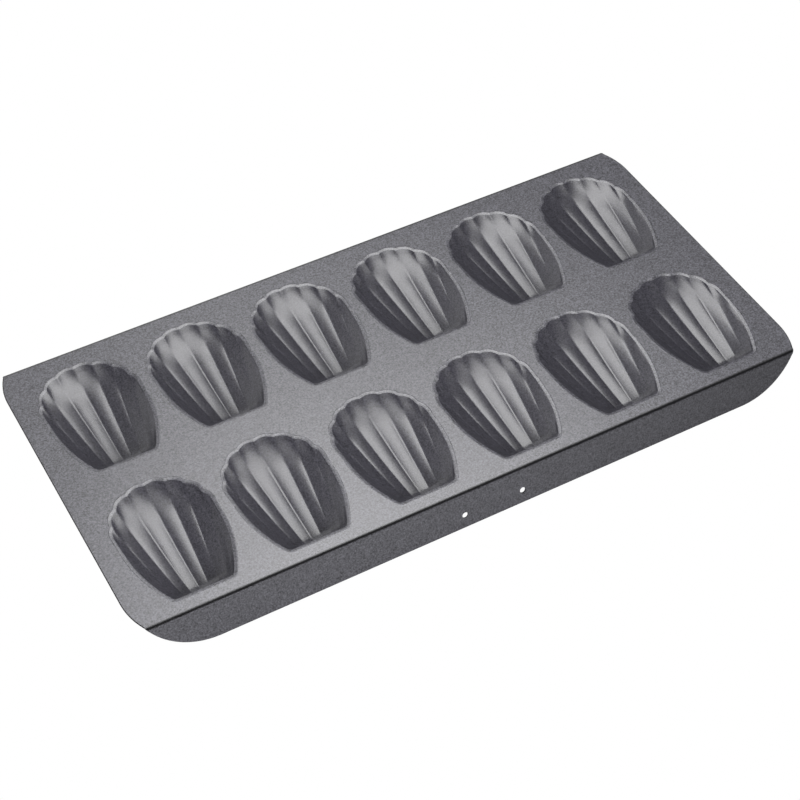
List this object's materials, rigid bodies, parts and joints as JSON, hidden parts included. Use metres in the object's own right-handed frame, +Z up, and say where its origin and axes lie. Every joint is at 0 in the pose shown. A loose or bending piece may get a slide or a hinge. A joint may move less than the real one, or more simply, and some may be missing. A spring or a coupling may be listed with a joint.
{
  "type": "madeleine_pan",
  "caption": "Non-stick steel madeleine pan with two rows of fluted shell moulds and folded flanges along its long sides",
  "frame": {"origin": "middle of the pan's footprint, on the surface that the pan stands on", "axes": "+X along the pan to the right, +Y from the front flange (the one with the two holes) to the rear flange, +Z up"},
  "size_m": [0.4, 0.2076, 0.0203],
  "materials": {
    "coated_deck": "semi_gloss",
    "coated_mould": "semi_gloss",
    "coated_flange": "semi_gloss"
  },
  "bodies": {
    "root": {"deck_plate": "coated_deck", "mould_front_1": "coated_mould", "mould_front_2": "coated_mould", "mould_front_3": "coated_mould", "mould_front_4": "coated_mould", "mould_front_5": "coated_mould", "mould_front_6": "coated_mould", "mould_rear_1": "coated_mould", "mould_rear_2": "coated_mould", "mould_rear_3": "coated_mould", "mould_rear_4": "coated_mould", "mould_rear_5": "coated_mould", "mould_rear_6": "coated_mould", "front_flange": "coated_flange", "rear_flange": "coated_flange"}
  },
  "joints": []
}
